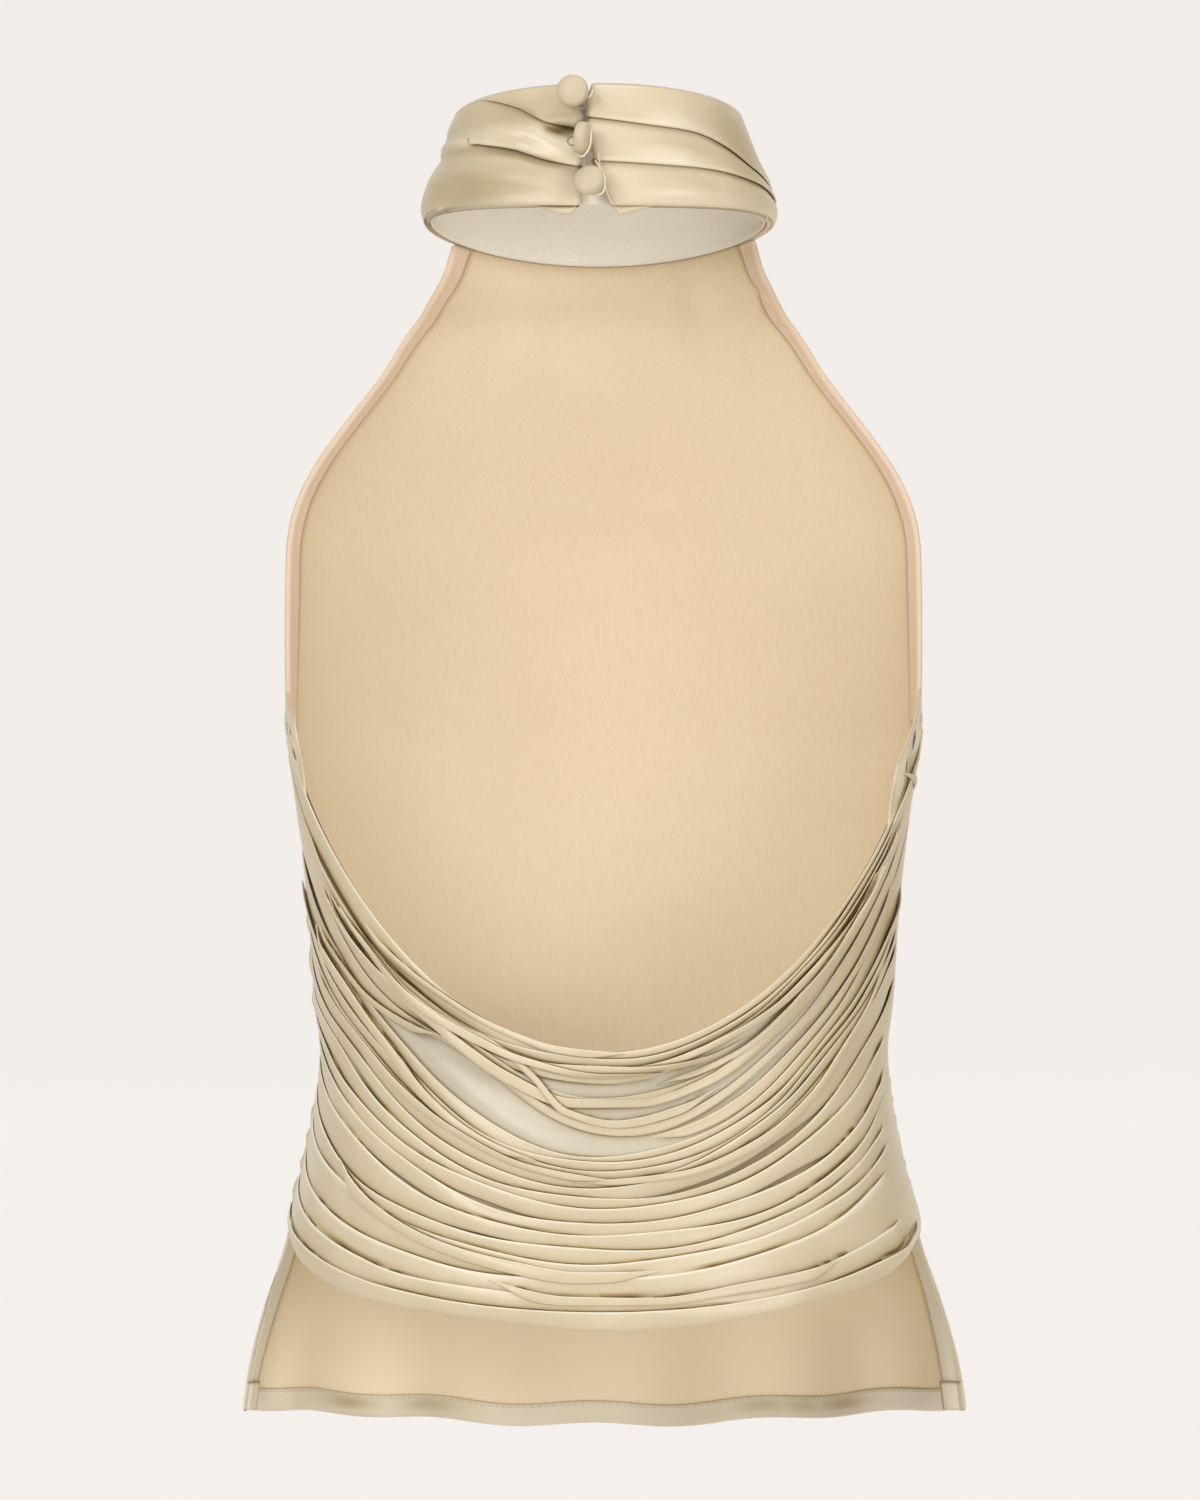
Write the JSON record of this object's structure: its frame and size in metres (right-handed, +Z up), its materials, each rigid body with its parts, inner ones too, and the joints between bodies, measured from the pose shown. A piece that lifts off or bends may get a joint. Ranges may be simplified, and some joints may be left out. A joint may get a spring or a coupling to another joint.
{
  "type": "halter neck top",
  "caption": "Satin halter top, filled out as worn: tall pleated collar buttoned at the nape, plain front, open back with a swag of narrow straps.",
  "frame": {"origin": "on the neck's axis, half way up the collar, where the wearer's neck holds the top", "axes": "+Z up along the wearer's body; the wearer's back faces -Y and the wearer's left side is at -X"},
  "size_m": [0.3266, 0.2271, 0.6111],
  "materials": {
    "satin": "soft sheen satin",
    "lining": "matte",
    "binding": "matte"
  },
  "bodies": {
    "root": {"front_panel": "satin", "collar_band": "satin", "collar_lining": "lining", "button_stand": "lining", "button_top": "satin", "shank_top": "satin", "loop_top": "satin", "button_middle": "satin", "shank_middle": "satin", "loop_middle": "satin", "button_bottom": "satin", "shank_bottom": "satin", "loop_bottom": "satin", "armhole_binding_left": "binding", "side_facing_left": "satin", "armhole_binding_right": "binding", "side_facing_right": "satin", "hem_facing": "satin", "back_cowl": "satin", "strap_01": "satin", "strap_02": "satin", "strap_03": "satin", "strap_04": "satin", "strap_05": "satin", "strap_06": "satin", "strap_07": "satin", "strap_08": "satin", "strap_09": "satin", "strap_10": "satin", "strap_11": "satin", "strap_12": "satin", "strap_13": "satin", "strap_14": "satin", "strap_15": "satin", "strap_16": "satin", "strap_17": "satin", "strap_18": "satin", "strap_19": "satin", "strap_20": "satin"}
  },
  "joints": []
}
